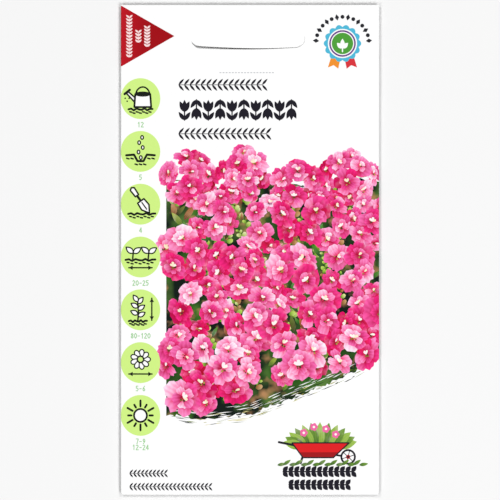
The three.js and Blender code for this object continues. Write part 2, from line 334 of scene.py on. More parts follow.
def leaf_outline(length, half_width, count=7):
    """A pointed leaf along +x from the origin."""
    shares = [i / count for i in range(1, count)]
    upper = [(length * t, half_width * sin(pi * t**0.85) ** 0.9) for t in shares]
    return [(0, 0)] + [(x, -y) for x, y in upper] + [(length, 0)] + upper[::-1]


def axis_along(x, y, angle, length, half_width):
    return (x, y, *polar(0, 0, length, angle), half_width)


def leaf(sheet, x, y, angle, length, half_width, foot, tip, side_light=0.0):
    outline = turned(leaf_outline(length, half_width), angle, x, y)
    sheet.add(outline, foot, tip, axis_along(x, y, angle, length, half_width), PETAL, side_light)


def flat_leaf(sheet, x, y, angle, length, half_width, colour=NEAR_BLACK):
    sheet.add(turned(leaf_outline(length, half_width), angle, x, y), colour)


# ---- the flower picture

PICTURE_LEFT = -25.8
BACKDROP_TOP = 20.4
FOOT_X = [PICTURE_LEFT, -14, 0, 24.5, 33.7, PRINT_RIGHT]
FOOT_Y = [-50.5, -52.0, -50.5, -40.8, -36.8, -32.5]

# Round flower heads from the back of the bed to its front: x, y and radius.
HEADS = [
    (-19.0, 21.8, 8.4), (30.5, 22.6, 9.0), (-2.0, 23.0, 8.8), (14.2, 20.4, 8.0),
    (-10.8, 10.2, 7.6), (38.4, 8.6, 8.2), (22.6, 9.4, 8.6), (5.6, 8.0, 8.6),
    (-20.2, -1.6, 8.2), (-4.2, -5.6, 8.8), (30.8, -5.8, 8.8), (13.4, -7.0, 9.0),
    (-14.6, -17.2, 8.6), (39.0, -19.6, 8.4), (3.4, -21.6, 9.2), (22.4, -20.6, 9.0),
    (-20.4, -32.4, 8.2), (30.6, -31.0, 7.0), (14.0, -34.4, 8.4), (-5.4, -37.0, 9.6),
    (-18.0, -44.6, 6.4),
]
HEAD_TRIES = 260
HEAD_COVER = 0.76  # no leaf or spray starts inside this share of a head's radius
DOME_TURN = 0.42  # how much narrower a blossom looks at the edge of its head
EDGE_DARKER = 0.1
UPPER_LIGHTER = 0.12
FOLIAGE_TRIES = 420
LEAF_SHARE = 0.55  # of the foliage; the rest are sprays of buds
BLOSSOM_RADIUS = 5.7  # at the front of the bed
FAR_BLOSSOM_RADIUS = 4.2
BLOSSOM_SPACING = 0.56  # least distance of two blossoms, as a share of their sizes together
BLOSSOM_INSET = 0.28  # a blossom keeps this share of its size inside its head
PETAL_POINTS = 15
PETAL_NECK = 0.4  # breadth of a petal's foot, as a share of its half width
PETAL_SPREAD = 0.72  # what its breadth gains towards the tip
PETAL_SHADOW = 0.32
SHADOW_PLACE = 0.56  # middle and reach of a petal's shadow along the petal, as shares of its length
SHADOW_REACH = 0.66
SHADOW_BREADTH = 1.5  # times the petal's
SIDE_LIGHT = 0.2  # how much lighter a petal is on the side towards the light
LIGHT_ANGLE = 2.2  # the light comes from the upper left
FOOT_DEPTH = 0.32  # a petal's foot is this much deeper in colour than the petal
TIP_LIGHT = 0.2
BUD_ANGLE = 0.85
STALK_HALF_WIDTH = 0.16
BUD_PITCH = 0.95


def picture_foot(x):
    """Lower edge of the picture."""
    return float(np.interp(x, FOOT_X, FOOT_Y))


def picture_top(x):
    """Upper edge of the backdrop."""
    return BACKDROP_TOP + 0.9 * sin(0.23 * x + 0.6) + 0.02 * x


def clipped(outline):
    """An outline without its part to the right of the print."""
    kept = []
    for (x0, y0), (x1, y1) in zip(outline, outline[1:] + outline[:1]):
        if x0 <= PRINT_RIGHT:
            kept.append((x0, y0))
        if (x0 - PRINT_RIGHT) * (x1 - PRINT_RIGHT) < 0:
            kept.append((PRINT_RIGHT, y0 + (y1 - y0) * (PRINT_RIGHT - x0) / (x1 - x0)))
    return kept


def paint(sheet, outline, *inks, **looks):
    outline = clipped(outline)
    if len(outline) > 2:
        sheet.add(outline, *inks, **looks)


def pink(level):
    """Petal ink from deep magenta (0) to almost white (1)."""
    place = min(max(level, 0), 1) * (len(PINKS) - 1)
    low = min(int(place), len(PINKS) - 2)
    return tuple(a + (b - a) * (place - low) for a, b in zip(PINKS[low], PINKS[low + 1]))


def foreshortened(points, lean, squash):
    """Points squeezed to the share squash of their reach along the direction lean."""
    c, s = cos(lean), sin(lean)
    pressed = [(1 - squash) * (p * c + q * s) for p, q in points]
    return [(p - n * c, q - n * s) for (p, q), n in zip(points, pressed)]


def petal_outline(length, half_width, wave, phase):
    """A broad petal along +x from the origin, with a waved edge."""
    points = []
    for i in range(PETAL_POINTS):
        t = TAU * i / PETAL_POINTS
        along = 0.5 - 0.5 * cos(t)
        reach = along * (1 + 0.5 * wave * sin(7 * t + phase))
        broad = sin(t) * (PETAL_NECK + PETAL_SPREAD * along) * (1 + wave * along * sin(5 * t + phase))
        points.append((length * reach, half_width * broad))
    return points


class Blossom:
    """Where a blossom sits, how large it is, how far it faces away, and how light it is."""

    def __init__(self, x, y, radius, lean=0.0, squash=1.0, level=0.0):
        self.x, self.y, self.radius = x, y, radius
        self.lean, self.squash, self.level = lean, squash, level

    def placed(self, points):
        return [(self.x + p, self.y + q) for p, q in foreshortened(points, self.lean, self.squash)]

    def shadow(self, sheet, share, strength, drop=0.0):
        """A soft round shadow round the blossom's middle."""
        radius = self.radius * share
        along = polar(0, 0, radius * self.squash, self.lean)
        sheet.shade(self.x, self.y - drop * self.radius, *along, radius, strength)

    def petal(self, sheet, draw, angle, length, half_width, level):
        outline = petal_outline(length, half_width, draw.uniform(0.05, 0.2), draw.uniform(0, TAU))
        corner = foreshortened(turned([(length, 0), (0, half_width)], angle), self.lean, self.squash)
        (tip_x, tip_y), (side_x, side_y) = corner
        width = abs(tip_x * side_y - tip_y * side_x) / hypot(tip_x, tip_y)
        middle = (self.x + SHADOW_PLACE * tip_x, self.y + SHADOW_PLACE * tip_y)
        reach = (SHADOW_REACH * tip_x, SHADOW_REACH * tip_y)
        sheet.shade(*middle, *reach, SHADOW_BREADTH * width, PETAL_SHADOW)
        inks = (pink(level - FOOT_DEPTH), pink(level + TIP_LIGHT))
        axis = (self.x, self.y, tip_x, tip_y, width)
        light = SIDE_LIGHT * sin(angle - LIGHT_ANGLE)
        paint(sheet, self.placed(turned(outline, angle)), *inks, axis=axis, grain=PETAL, side_light=light)

    def whorl(self, sheet, draw, count, share, spread, level, start):
        """One ring of petals, each a little out of line."""
        order = list(range(count))
        draw.shuffle(order)
        for i in order:
            angle = start + TAU * (i + draw.uniform(-0.16, 0.16)) / count
            length = self.radius * share * draw.uniform(0.84, 1.1)
            half_width = length * spread * draw.uniform(0.84, 1.12)
            petal_level = level + draw.triangular(-0.25, 0.48, -0.1)
            self.petal(sheet, draw, angle, length, half_width, petal_level)

    def eye(self, sheet, draw):
        """A few cream petals with stamens beside them."""
        size = self.radius
        turn = draw.uniform(-1.1, 1.1)
        for _ in range(4):
            angle, reach = turn + draw.uniform(3.4, 6.0), size * draw.uniform(0.06, 0.2)
            outline = ring(*polar(self.x, self.y, reach, angle), size * draw.uniform(0.035, 0.07), 7)
            paint(sheet, outline, draw.choice(STAMEN_INKS))
        start = turn + draw.uniform(0.2, 0.9)
        for i in range(draw.choice([1, 2, 3, 3])):
            angle = start + 0.9 * i
            length = size * draw.uniform(0.22, 0.34)
            outline = turned(petal_outline(length, length * 0.36, 0.1, angle), angle)
            paint(sheet, self.placed(outline), draw.choice(EYE_INKS))

    def draw(self, sheet, draw):
        """Two whorls and an eye, each over a shadow."""
        start = draw.uniform(0, TAU)
        self.shadow(sheet, 1.25, 0.55, drop=0.1)
        self.whorl(sheet, draw, draw.choice([5, 6, 6, 7]), 1.0, draw.uniform(0.48, 0.6), self.level, start)
        self.shadow(sheet, 0.66, 0.2)
        self.whorl(sheet, draw, draw.choice([4, 5, 5]), 0.6, 0.56, self.level + 0.1, start + 0.5)
        self.shadow(sheet, 0.36, 0.6)
        self.eye(sheet, draw)


def bud(sheet, draw, x, y, angle, length):
    """A round green bud that points along the angle."""
    inks = draw.choice(BUD_INKS)
    half_width = 0.36 * length
    outline = turned(ring(length / 2, 0, length / 2, 9, half_width), angle, x, y)
    axis = axis_along(x, y, angle, length, half_width)
    paint(sheet, outline, *inks, axis=axis, grain=PETAL, side_light=0.3)


def bud_spray(sheet, draw, x, y, angle, length):
    """A stalk with buds up both sides, smaller towards its tip."""
    leaf(sheet, x, y, angle, length, STALK_HALF_WIDTH, *STALK_INKS)
    count = round(length / BUD_PITCH)
    for i in range(count):
        share = (i + 0.5) / count
        root = polar(x, y, length * share, angle)
        side = BUD_ANGLE if i % 2 else -BUD_ANGLE
        bud(sheet, draw, *root, angle + side, draw.uniform(1.7, 2.4) * (1.1 - 0.6 * share))


def behind_a_head(x, y):
    return any(hypot(x - a, y - b) < HEAD_COVER * radius for a, b, radius in HEADS)


def foliage(sheet, draw):
    """Leaves and sprays of buds in the gaps between the flower heads."""
    for _ in range(FOLIAGE_TRIES):
        x = draw.uniform(PICTURE_LEFT + 2.5, PRINT_RIGHT - 4)
        y = draw.uniform(picture_foot(x) + 3, BACKDROP_TOP - 2)
        if behind_a_head(x, y):
            continue
        if draw.random() < LEAF_SHARE:
            inks = draw.choice(LEAF_INKS)
            angle, length = draw.uniform(0.6, 2.5), draw.uniform(2.5, 6)
            leaf(sheet, x, y, angle, length, length * draw.uniform(0.12, 0.2), *inks, side_light=0.3)
        else:
            bud_spray(sheet, draw, x, y, draw.uniform(1.0, 2.2), draw.uniform(2.5, 5.5))


def brush_strokes(sheet, draw, edge, colours, count, low, high):
    """Short dry strokes along an edge of the picture, between low and high above it."""
    for _ in range(count):
        x = draw.uniform(PICTURE_LEFT + 0.2, PRINT_RIGHT - 6)
        y = edge(x) + draw.uniform(low, high)
        length = draw.uniform(1.2, 5.5)
        thick = draw.uniform(0.1, 0.34)
        outline = [(0, 0), (0.3 * length, -0.6 * thick), (length, 0.1 * thick), (0.5 * length, 0.5 * thick)]
        slope = 0.08 if edge is picture_top else atan2(edge(x + 5) - edge(x), 5)
        sheet.add(turned(outline, slope + draw.uniform(-0.05, 0.05), x, y), draw.choice(colours))


def backdrop(sheet, draw):
    """Dark foliage behind the bed, brushed out roughly at its upper and lower edge."""
    upper, lower = [], []
    x = PICTURE_LEFT
    while x < PRINT_RIGHT:
        upper.append((x, picture_top(x) + draw.uniform(-0.5, 0.4)))
        lower.append((x, picture_foot(x) + draw.uniform(-0.8, 0.6)))
        x += draw.uniform(0.5, 1.5)
    upper.append((PRINT_RIGHT, picture_top(x)))
    lower.append((PRINT_RIGHT, picture_foot(x)))
    sheet.add(lower + upper[::-1], FOLIAGE_DARK, FOLIAGE_MID, grain=FOLIAGE)
    brush_strokes(sheet, draw, picture_top, STROKE_INKS, 30, 0.2, 1.5)
    brush_strokes(sheet, draw, picture_foot, STROKE_INKS, 90, -2.2, 1.6)
    brush_strokes(sheet, draw, picture_top, [PAPER_WHITE], 26, -1.6, -0.2)
    brush_strokes(sheet, draw, picture_foot, [PAPER_WHITE], 80, -0.8, 3.2)


def flower_head(sheet, draw, x, y, radius):
    """A dome of blossoms: they face outwards more and more towards its edge."""
    share = (y - FOOT_Y[0]) / (HEADS[0][1] - FOOT_Y[0])
    middle_size = BLOSSOM_RADIUS + (FAR_BLOSSOM_RADIUS - BLOSSOM_RADIUS) * share
    places = []
    for _ in range(HEAD_TRIES):
        size = middle_size * draw.uniform(0.78, 1.12)
        reach = (radius - BLOSSOM_INSET * size) * sqrt(draw.random())
        angle = draw.uniform(0, TAU)
        a, b = polar(x, y, reach, angle)
        if all(hypot(a - p, b - q) > BLOSSOM_SPACING * (size + s) for _, _, p, q, s in places):
            places.append((reach, angle, a, b, size))
    places.sort(reverse=True)
    for reach, angle, a, b, size in places:
        out = reach / radius
        level = draw.triangular(0.0, 0.66, 0.24) - EDGE_DARKER * out**2 + UPPER_LIGHTER * out * sin(angle)
        Blossom(a, b, size, angle, 1 - DOME_TURN * out**2, level).draw(sheet, draw)


def flower_bed(sheet):
    """A bed of pink double blossoms in round heads, painted from the back to the front."""
    draw = random.Random(7)
    backdrop(sheet, draw)
    foliage(sheet, draw)
    for x, y, radius in HEADS:
        Blossom(x, y - 1.2, radius).shadow(sheet, 1.25, 0.5)
        flower_head(sheet, draw, x, y, radius)


# ---- the garden signs at the left, each drawn round its own middle

SIGN_X = -33.75
SIGN_HALF_WIDTH = 6.1
SIGN_HALF_HEIGHT = 6.3
SIGN_TOP_Y = 46.65
SIGN_PITCH = 16.27
CAPTION_DROP = 8.0
CAPTION_HEIGHT = 1.5
CAPTION_LEADING = 1.85
CAPTION_PEN = 0.26
CAPTION_NARROW = 0.72
ARROW_BARB = [(1.2, 0.7), (0, 0), (1.2, -0.7)]


def sprout(sheet, x, y, size):
    """A seedling with two leaves."""
    line(sheet, [(x, y), (x + 0.05 * size, y + 0.6 * size)])
    for angle in (0.6, 2.45):
        outline = turned(leaf_outline(0.8 * size, 0.22 * size, 5), angle, x + 0.05 * size, y + 0.5 * size)
        filled(sheet, outline, PEN * 0.8)


def arrow(sheet, start, end):
    """A line with a head at both ends."""
    line(sheet, [start, end], PEN * 0.9)
    angle = atan2(end[1] - start[1], end[0] - start[0])
    sheet.add(turned(ARROW_BARB, angle, *start), LINE_BLACK)
    sheet.add(turned(ARROW_BARB, angle + pi, *end), LINE_BLACK)


def soil(sheet, x, y, width):
    """A rough line of earth with crumbs under it."""
    left = x - width / 2
    line(sheet, [(left + width * i / 9, y + 0.32 * sin(2.4 * i)) for i in range(10)], PEN * 1.3)
    for i in range(7):
        crumb, drop = left + width * (i + 0.4) / 7.5, 0.75 + 0.35 * (i % 2)
        line(sheet, [(crumb, y - drop), (crumb + 0.6, y - drop - 0.12)])


def sign_watering_can(sheet):
    line(sheet, ring(0.7, 0.9, 2.2, 12, 2.7, 0.1, 2.9))
    spout = [(-1.7, -1.2), (-4.3, 1.6), (-3.7, 2.1), (-1.6, 0.2)]
    body = [(-1.6, 1.4), (3.0, 1.4), (3.3, -2.6), (-1.9, -2.6)]
    filled(sheet, spout)
    filled(sheet, body, PEN * 1.2)
    filled(sheet, ring(0.7, 1.4, 2.3, 16, 0.65), PEN * 0.6, LINE_BLACK)
    line(sheet, [(-4.9, 1.4), (-3.3, 2.7)], PEN * 1.5)
    for i in range(3):
        disc(sheet, 0.6 * i - 4.7, 0.1 - 0.9 * (i % 2), 0.26, LINE_BLACK, 8)
    soil(sheet, 0, -3.3, 7.4)


def sign_sowing(sheet):
    bank = [(-4.4, -1.2), (-2.0, -1.0), (-0.9, -3.0), (0.9, -3.0), (2.0, -1.0), (4.4, -1.2)]
    line(sheet, bank, PEN * 1.4)
    for i in range(7):
        middle = 1.3 * (i - 3)
        drop = 2.1 if abs(middle) > 1.7 else 3.9
        line(sheet, [(middle - 0.35, -drop), (middle + 0.35, -drop - 0.2)])
    for x, y in ((0.1, -1.9), (-0.6, -0.2), (0.7, 1.2), (-0.4, 2.7), (0.5, 4.3)):
        filled(sheet, ring(x, y, 0.42, 10, 0.58), PEN * 0.8)


def sign_trowel(sheet):
    def along(*points):
        return turned(points, -0.95, 0.1, 1.0)

    soil(sheet, 0.4, -3.0, 8.4)
    line(sheet, along((-2.0, 0), (0, 0)), PEN * 1.5)
    filled(sheet, along((0, -1.2), (2.4, -1.4), (4.6, 0), (2.4, 1.4), (0, 1.2)))
    filled(sheet, along((-4.5, -0.75), (-2.0, -0.6), (-2.0, 0.6), (-4.5, 0.75), (-5.0, 0)))
    line(sheet, along((0.6, 0), (3.1, 0)), PEN * 0.8)


def sign_spacing(sheet):
    for x in (-2.4, 2.4):
        sprout(sheet, x, -0.6, 3.6)
    soil(sheet, 0, -0.9, 9.2)
    arrow(sheet, (-3.6, -3.3), (3.6, -3.3))


def sign_height(sheet):
    line(sheet, [(-0.8, -3.4), (-0.6, -0.5), (-0.9, 2.8)])
    for y, angle in ((-2.0, 0.5), (-1.4, 2.7), (0.0, 0.6), (0.7, 2.6), (1.9, 0.9), (2.5, 2.2)):
        filled(sheet, turned(leaf_outline(2.5, 0.7, 5), angle, -0.75, y), PEN * 0.8)
    soil(sheet, -0.8, -3.5, 5.6)
    arrow(sheet, (3.5, -3.2), (3.5, 3.6))


def sign_flower_width(sheet):
    for i in range(9):
        filled(sheet, turned(petal_outline(3.1, 0.9, 0.0, 0), TAU * i / 9, 0, 1.0), PEN * 0.75)
    filled(sheet, ring(0, 1.0, 1.0, 14), PEN, DISC_GREEN)
    arrow(sheet, (-3.6, -3.5), (3.6, -3.5))


def sign_sun(sheet):
    for i in range(12):
        angle, reach = TAU * i / 12, 4.6 if i % 2 else 3.8
        line(sheet, turned([(2.8, 0), (reach, 0)], angle), PEN * 1.3)
    filled(sheet, ring(0, 0, 2.0, 20), PEN * 1.2)


DIGIT_STROKES = {
    "0": [(0.5, 1.3), (0.1, 0.9), (0.1, 0.4), (0.5, 0), (0.9, 0.4), (0.9, 0.9), (0.5, 1.3)],
    "1": [(0.25, 1.0), (0.55, 1.3), (0.55, 0)],
    "2": [(0.1, 1.1), (0.5, 1.3), (0.9, 1.0), (0.1, 0), (0.95, 0)],
    "3": [(0.1, 1.25), (0.8, 1.2), (0.45, 0.75), (0.85, 0.35), (0.45, 0), (0.1, 0.1)],
    "4": [(0.7, 0), (0.7, 1.3), (0.1, 0.4), (0.95, 0.4)],
    "5": [(0.85, 1.3), (0.2, 1.3), (0.15, 0.75), (0.7, 0.75), (0.85, 0.4), (0.5, 0), (0.1, 0.1)],
    "6": [(0.75, 1.3), (0.2, 0.7), (0.15, 0.25), (0.5, 0), (0.85, 0.3), (0.6, 0.7), (0.2, 0.55)],
    "7": [(0.1, 1.3), (0.9, 1.3), (0.4, 0)],
    "8": [
        (0.5, 0.7), (0.15, 1.0), (0.5, 1.3), (0.85, 1.0), (0.5, 0.7),
        (0.1, 0.3), (0.5, 0), (0.9, 0.3), (0.5, 0.7),
    ],
    "9": [(0.25, 0), (0.8, 0.6), (0.85, 1.05), (0.5, 1.3), (0.15, 1.0), (0.4, 0.6), (0.8, 0.75)],
    "-": [(0.15, 0.6), (0.8, 0.6)],
}
DIGIT_HEIGHT = 1.3
DIGIT_PITCH = 1.25


def number(sheet, text, x, y, height, width, colour, narrow=1.0):
    """Plain digits centred on x, with their foot at y."""
    size = height / DIGIT_HEIGHT
    pitch = DIGIT_PITCH * size * narrow
    left = x - pitch * len(text) / 2 + 0.12 * size
    for i, digit in enumerate(text):
        strokes = [(left + pitch * i + size * narrow * p, y + size * q) for p, q in DIGIT_STROKES[digit]]
        line(sheet, strokes, width, colour)


def garden_signs(sheet):
    """Seven round signs with a garden pictogram each and plain numbers under it."""
    signs = [
        (sign_watering_can, ["12"]),
        (sign_sowing, ["5"]),
        (sign_trowel, ["4"]),
        (sign_spacing, ["20-25"]),
        (sign_height, ["80-120"]),
        (sign_flower_width, ["5-6"]),
        (sign_sun, ["7-9", "12-24"]),
    ]
    for count, (drawing, captions) in enumerate(signs):
        sheet.origin = (SIGN_X, SIGN_TOP_Y - SIGN_PITCH * count)
        sheet.add(ring(0, 0, SIGN_HALF_WIDTH, 48, SIGN_HALF_HEIGHT), DISC_GREEN)
        drawing(sheet)
        for row, caption in enumerate(captions):
            foot = -CAPTION_DROP - CAPTION_HEIGHT / 2 - CAPTION_LEADING * row
            number(sheet, caption, 0, foot, CAPTION_HEIGHT, CAPTION_PEN, CAPTION_GREEN, CAPTION_NARROW)


# ---- ornaments where words and badges go

LEAF_LEAN = 0.85
LIGHT_LEAVES = (0.36, 1.75)  # half width and pitch of the leaves in a row
HEAVY_LEAVES = (0.74, 1.8)
FINE_LEAVES = (0.27, 1.25)
TITLE_LEFT = -22.0
TULIP_STALK = 0.42
TAG_LEFT = -39.5
TAG_TIP_X = -23.3
TAG_Y = 65.93
TAG_HALF_HEIGHT = 9.3
TAG_FADE = 7.0  # its red turns darker over this width
TEAR_MARK_LEFT = -9.4
BADGE_X = 28.5
BADGE_Y = 63.65
BEAD_ARC = 8.2  # radius of the arc of beads over the badge
BARROW_X = 21.6
BARROW_Y = -61.35
BARROW_SIZE = 1.2


def laurel(sheet, start, end, half, leaf_width, pitch, colour=NEAR_BLACK):
    """A branch from start to end: pairs of pointed leaves up a thin stem."""
    angle = atan2(end[1] - start[1], end[0] - start[0])
    reach = dist(start, end) - half / tan(LEAF_LEAN)
    count = round(reach / pitch)
    line(sheet, turned([(0, 0), (reach, 0)], angle, *start), leaf_width * 0.6, colour)
    for i in range(count + 1):
        root = polar(*start, reach * i / count, angle)
        for lean in (LEAF_LEAN, -LEAF_LEAN):
            flat_leaf(sheet, *root, angle + lean, half / sin(LEAF_LEAN), leaf_width, colour)


def row_of_leaves(sheet, left, right, low, high, leaves):
    middle = (low + high) / 2
    laurel(sheet, (left, middle), (right, middle), (high - low) / 2, *leaves)


def tulip(sheet, x, y, height, direction):
    """A tulip of three petals on a stem with two leaves. Direction 1 stands up and -1 hangs down."""
    up = direction * pi / 2
    line(sheet, [(x, y), (x, y + direction * 0.5 * height)], TULIP_STALK, NEAR_BLACK)
    for lean in (-0.62, 0.62):
        flat_leaf(sheet, x, y, up + lean, 0.5 * height, 0.1 * height)
    for lean, length in ((-0.42, 0.58), (0.42, 0.58), (0, 0.6)):
        flat_leaf(sheet, x, y + direction * 0.4 * height, up + lean, length * height, 0.12 * height)


def tulip_row(sheet, left, right, low, high, count):
    """A heavy border of tulips, every second one upside down."""
    pitch = (right - left) / count
    for i in range(count):
        foot, direction = (high, -1) if i % 2 else (low, 1)
        tulip(sheet, left + pitch * (i + 0.5), foot, high - low, direction)


def title_band(sheet):
    row_of_leaves(sheet, TITLE_LEFT, 5.4, 49.0, 52.8, LIGHT_LEAVES)
    tulip_row(sheet, TITLE_LEFT, 14.6, 40.0, 46.3, 10)
    row_of_leaves(sheet, TITLE_LEFT, 6.6, 33.9, 37.7, LIGHT_LEAVES)


def corner_tag(sheet):
    """The red triangle at the upper left, with three white sprigs."""
    low, high = TAG_Y - TAG_HALF_HEIGHT, TAG_Y + TAG_HALF_HEIGHT
    outline = [(PRINT_LEFT, high), (PRINT_LEFT, low), (TAG_LEFT, low), (TAG_TIP_X, TAG_Y), (TAG_LEFT, high)]
    sheet.add(outline, *TAG_REDS, axis=(TAG_LEFT, TAG_Y, TAG_FADE, 0, TAG_HALF_HEIGHT))
    for x, length in ((-37.2, 13.0), (-34.4, 3.9), (-31.7, 6.5)):
        laurel(sheet, (x, TAG_Y - length / 2), (x, TAG_Y + length / 2), 1.0, 0.3, 1.0, TAG_WHITE)


def tear_mark(sheet):
    """A row of tiny dashes above the seeds, where the packet is torn open."""
    dash, pitch, count = 0.6, 0.95, 18
    for i in range(count):
        x = TEAR_MARK_LEFT + pitch * i
        sheet.add(rectangle(x, x + dash, TEAR_LINE + 0.5, TEAR_LINE + 0.8), TEAR_GREY)


def rosette(sheet):
    """A scalloped disc with a leaf on it, over two ribbon tails."""
    tail = [(0.4, -3.5), (3.3, -3.5), (4.5, -7.4), (2.7, -6.7), (1.3, -7.8)]
    sheet.add([(-x, y) for x, y in tail], BADGE_ORANGE)
    sheet.add(tail, BADGE_RED)
    scallops, steps = 14, 84
    radii = [5.1 + 0.7 * abs(cos(scallops * pi * i / steps)) for i in range(steps)]
    sheet.add([polar(0, 0, radius, TAU * i / steps) for i, radius in enumerate(radii)], BADGE_TEAL)
    for radius, colour in ((4.5, PAPER_WHITE), (4.1, BADGE_PURPLE), (3.6, PAPER_WHITE), (3.3, BADGE_GREEN)):
        disc(sheet, 0, 0, radius, colour, 40)
    for lean, length in ((0, 3.0), (-0.8, 2.4), (0.8, 2.4)):
        flat_leaf(sheet, 0, -1.5, pi / 2 + lean, length, 0.7, PAPER_WHITE)
    line(sheet, [(0, -2.5), (0, -1.0)], 0.4, PAPER_WHITE)


def award_badge(sheet):
    """A rosette under an arc of beads."""
    sheet.origin = (BADGE_X, BADGE_Y)
    rosette(sheet)
    beads = 15
    for i in range(beads):
        angle = radians(174 - 168 * i / (beads - 1))
        if i % 2:
            disc(sheet, *polar(0, 0, BEAD_ARC, angle), 0.62, BADGE_BLACK, 12)
        else:
            diamond = [(BEAD_ARC - 1, 0), (BEAD_ARC, -0.66), (BEAD_ARC + 1, 0), (BEAD_ARC, 0.66)]
            sheet.add(turned(diamond, angle), BADGE_BLACK)


def barrow(*points):
    """Points of the wheelbarrow's drawing at its size."""
    return [(BARROW_SIZE * x, BARROW_SIZE * y) for x, y in points]


def barrow_plants(sheet):
    for i in range(13):
        angle = 0.25 + 2.65 * i / 12
        inks = (SPRIG_DARK, SPRIG_GREEN) if i % 2 else (SPRIG_GREEN, SPRIG_LIGHT)
        root, (length, half_width) = barrow((4.4 * cos(angle), 0.6), (5.0 + 1.4 * sin(angle), 1.25))
        leaf(sheet, *root, angle, length, half_width, *inks, side_light=0.2)
    for x, y in barrow((-4.2, 4.2), (-1.6, 5.7), (1.5, 5.2), (4.0, 3.8)):
        for i in range(5):
            disc(sheet, *polar(x, y, 0.66, TAU * i / 5), 0.6, BARROW_BLOOM, 10)
        disc(sheet, x, y, 0.4, EYE_INKS[0], 8)


def barrow_tray_and_wheel(sheet):
    line(sheet, barrow((-6.6, 1.0), (-10.6, 1.8)), 0.7, NEAR_BLACK)
    line(sheet, barrow((-4.4, -1.6), (-5.0, -3.6)), 0.7, NEAR_BLACK)
    line(sheet, barrow((3.0, -1.4), (6.9, -1.9)), 0.6, NEAR_BLACK)
    tray = barrow((-7.2, 1.6), (-4.4, -2.2), (3.4, -2.2), (7.4, 1.6))
    sheet.add(tray, TRAY_RED)
    sheet.add(barrow((-5.4, -0.8), (-4.4, -2.2), (3.4, -2.2), (5.0, -0.8)), TRAY_DARK)
    line(sheet, tray, 0.4, NEAR_BLACK, closed=True)
    hub = barrow((7.2, -2.0))[0]
    for radius, colour in ((2.0, NEAR_BLACK), (1.5, PAPER_WHITE), (0.55, TRAY_RED)):
        disc(sheet, *hub, BARROW_SIZE * radius, colour)
    for i in range(3):
        spoke = turned(barrow((-1.5, 0), (1.5, 0)), 0.3 + pi * i / 3, *hub)
        line(sheet, spoke, 0.25, NEAR_BLACK)


def garden_barrow(sheet):
    """A red wheelbarrow full of green plants on a leafy line, at the lower right."""
    sheet.origin = (BARROW_X, BARROW_Y)
    barrow_plants(sheet)
    barrow_tray_and_wheel(sheet)
    for i in range(15):
        root = barrow((-11 + 1.5 * i, -4.1))[0]
        leaf(sheet, *root, 0.15 + 0.45 * (i % 2), 2.9, 0.55, SPRIG_DARK, SPRIG_GREEN)


def lower_rows(sheet):
    """Two heavy rows of leaves under the barrow, and two fine ones at the lower left."""
    row_of_leaves(sheet, 10.2, 32.8, -70.0, -66.6, HEAVY_LEAVES)
    row_of_leaves(sheet, 12.0, 31.0, -74.0, -70.7, HEAVY_LEAVES)
    for low, right in ((-70.1, -25.3), (-74.2, -11.6)):
        row_of_leaves(sheet, -37.1, right, low, low + 2.5, FINE_LEAVES)


# ---- the back of the packet

BACK_LEFT = -27.0
CALENDAR_TOP = 30.0
CALENDAR_CELL = 4.5
CALENDAR_ROW = 5.0
CALENDAR_RULE = 0.18
BAR_HALF_HEIGHT = 1.1
MONTH_DROP = 3.5  # from the calendar's top to the foot of its digits
BACK_DIGITS = 1.9
MONTHS = 12
STAGE_PITCH = 19
STAGE_Y = -2.0
DASH_ROWS = 9
DASH_TOP = -20.0
DASH_LEADING = 3.2
DASH_PITCH = 2.4
LONG_ROW = 54
SHORT_ROW = 33


def calendar(sheet):
    """A grid of the twelve months with a bar for sowing and one for flowering."""
    lefts = [BACK_LEFT + CALENDAR_CELL * month for month in range(MONTHS + 1)]
    rows = [CALENDAR_TOP - CALENDAR_ROW * row for row in range(4)]
    sheet.add(rectangle(lefts[0], lefts[-1], rows[1], rows[0]), DISC_GREEN)
    for row, colour, first, last in ((1, SPRIG_GREEN, 2, 5), (2, BARROW_BLOOM, 5, 9)):
        middle = rows[row] - CALENDAR_ROW / 2
        bar = rectangle(lefts[first], lefts[last], middle - BAR_HALF_HEIGHT, middle + BAR_HALF_HEIGHT)
        sheet.add(bar, colour)
    for y in rows:
        line(sheet, [(lefts[0], y), (lefts[-1], y)], CALENDAR_RULE, CAPTION_GREEN)
    for month, x in enumerate(lefts, start=1):
        line(sheet, [(x, rows[0]), (x, rows[-1])], CALENDAR_RULE, CAPTION_GREEN)
        if month <= MONTHS:
            middle, foot = x + CALENDAR_CELL / 2, rows[0] - MONTH_DROP
            number(sheet, str(month), middle, foot, BACK_DIGITS, 0.28, NEAR_BLACK)


def growth_stages(sheet):
    for count, size in enumerate((3.0, 4.6, 6.4), start=1):
        x = STAGE_PITCH * (count - 2)
        sheet.add(ring(x, STAGE_Y, SIGN_HALF_HEIGHT, 48), DISC_GREEN)
        sprout(sheet, x, STAGE_Y - 2.6, size)
        soil(sheet, x, STAGE_Y - 2.9, 7.0)
        number(sheet, str(count), x, STAGE_Y - 9.5, BACK_DIGITS, 0.3, SPRIG_GREEN)


def dashed_rows(sheet):
    """Rows of grey dashes of three lengths in place of words, every fourth row short."""
    for row in range(DASH_ROWS):
        length = LONG_ROW if row % 4 < 3 else SHORT_ROW
        y = DASH_TOP - DASH_LEADING * row
        for i in range(int(length / DASH_PITCH)):
            x = BACK_LEFT + DASH_PITCH * i
            line(sheet, [(x, y), (x + 1.5 - 0.5 * ((i * row) % 3), y)], PEN, TEAR_GREY)


def back_print(sheet):
    sheet.origin = (BACK_U, 0)
    row_of_leaves(sheet, BACK_LEFT, -BACK_LEFT, 42.0, 45.6, LIGHT_LEAVES)
    calendar(sheet)
    growth_stages(sheet)
    dashed_rows(sheet)


# ---- the blank and its triangles

